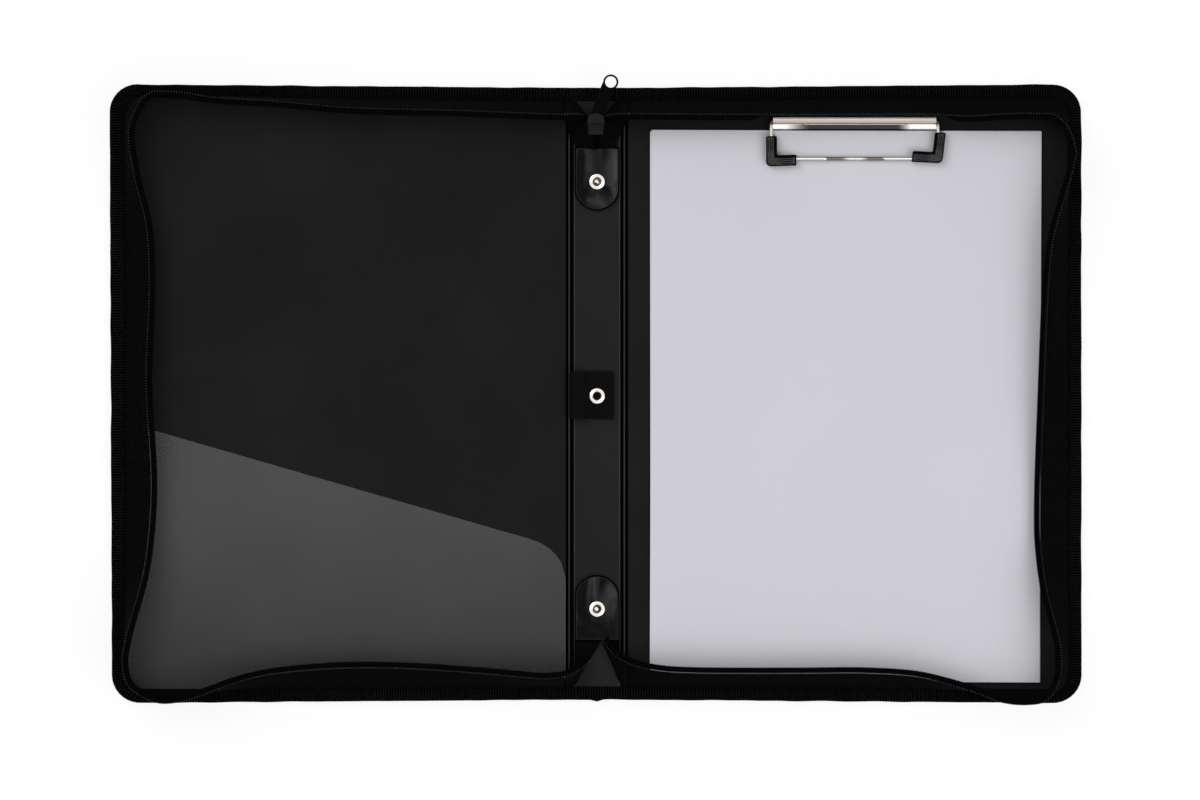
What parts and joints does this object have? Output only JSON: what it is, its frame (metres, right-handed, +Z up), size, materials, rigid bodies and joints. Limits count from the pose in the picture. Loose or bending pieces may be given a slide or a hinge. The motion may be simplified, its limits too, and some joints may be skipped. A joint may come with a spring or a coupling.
{
  "type": "zip-round document folder",
  "caption": "Zip-round A4 document folder, open flat, with folding spine, wire-bail clip, paper, clear pocket, pen loop and zip slider.",
  "frame": {"origin": "centre of the open folder on the plane that it rests on", "axes": "+X from the spine to the back cover's outer edge, +Y toward the head, +Z up out of the open covers"},
  "size_m": [0.5224, 0.3406, 0.0213],
  "materials": {
    "leathercloth": "black plastic leathercloth, fine grain, satin",
    "tab_leathercloth": "black leathercloth, glossy and creased",
    "greyboard": "grey stiffening board",
    "lining": "black plastic lining, very fine pebble grain",
    "binding": "black ribbed grosgrain binding",
    "zip_tape": "black herringbone zip tape",
    "zip_coil": "black nylon coil",
    "elastic": "black ribbed elastic webbing",
    "nickel": "bright nickel plate",
    "slider_metal": "dark lacquered die casting",
    "puller_metal": "black lacquered die casting",
    "grip_plastic": "black moulded plastic, satin",
    "clear_plastic": "clear plastic sheet, slightly frosted",
    "paper": "white copy paper, matt"
  },
  "bodies": {
    "back_cover": {"back_cover_skin": "leathercloth", "back_cover_board": "greyboard", "back_cover_lining": "lining", "back_cover_binding": "binding", "back_cover_zip_tape": "zip_tape", "back_cover_zip_coil": "zip_coil", "back_hinge_web": "leathercloth", "paper_sheets": "paper", "clip_base": "nickel", "clip_spring_strip": "nickel", "clip_rivet_left": "nickel", "clip_rivet_right": "nickel"},
    "spine": {"spine_skin": "leathercloth", "spine_board": "greyboard", "spine_lining": "lining", "spine_binding_head": "binding", "spine_binding_foot": "binding", "rivet_stud_head": "nickel", "rivet_stud_middle": "nickel", "rivet_stud_foot": "nickel", "rivet_cap_head": "nickel", "rivet_cap_middle": "nickel", "rivet_cap_foot": "nickel", "end_tab_head": "tab_leathercloth", "end_tab_foot": "tab_leathercloth", "pen_loop": "elastic", "tape_end_head_left": "zip_tape", "tape_end_head_right": "zip_tape", "tape_end_foot_left": "zip_tape", "tape_end_foot_right": "zip_tape", "zip_chain_head": "zip_coil"},
    "front_cover": {"front_cover_skin": "leathercloth", "front_cover_board": "greyboard", "front_cover_lining": "lining", "front_cover_binding": "binding", "front_cover_zip_tape": "zip_tape", "front_cover_zip_coil": "zip_coil", "front_hinge_web": "leathercloth", "clear_pocket": "clear_plastic"},
    "slider": {"zip_slider": "slider_metal"},
    "puller": {"zip_puller": "puller_metal"},
    "clip_bail": {"bail_wire": "nickel", "bail_grip_left": "grip_plastic", "bail_grip_right": "grip_plastic"}
  },
  "joints": [
    {"name": "spine_fold", "type": "hinge", "parent": "back_cover", "child": "spine", "pos_m": [0.0145, 0, 0.00095], "axis": [0, 1, 0], "range_deg": [0, 90], "deforming": ["back_hinge_web", "back_cover_zip_tape", "back_cover_zip_coil", "tape_end_head_right", "tape_end_foot_right"]},
    {"name": "front_cover_fold", "type": "hinge", "parent": "spine", "child": "front_cover", "pos_m": [-0.0145, 0, 0.00095], "axis": [0, 1, 0], "range_deg": [0, 90], "deforming": ["front_hinge_web", "front_cover_zip_tape", "front_cover_zip_coil", "tape_end_head_left", "tape_end_foot_left"]},
    {"name": "zip_slide", "type": "slide", "parent": "spine", "child": "slider", "axis": [0, 1, 0], "range_m": [0, 0.008], "deforming": ["zip_chain_head"]},
    {"name": "puller_swing", "type": "hinge", "parent": "slider", "child": "puller", "pos_m": [-0.0006, 0.1486, 0.0115], "axis": [0.9225, -0.3859, 0], "range_deg": [0, 130]},
    {"name": "bail_swing", "type": "hinge", "parent": "back_cover", "child": "clip_bail", "pos_m": [0.1388, 0.147, 0.0059], "axis": [-1, 0, 0], "range_deg": [0, 55], "stiffness_Nm_per_rad": 0.02, "springref_deg": -45.84}
  ]
}
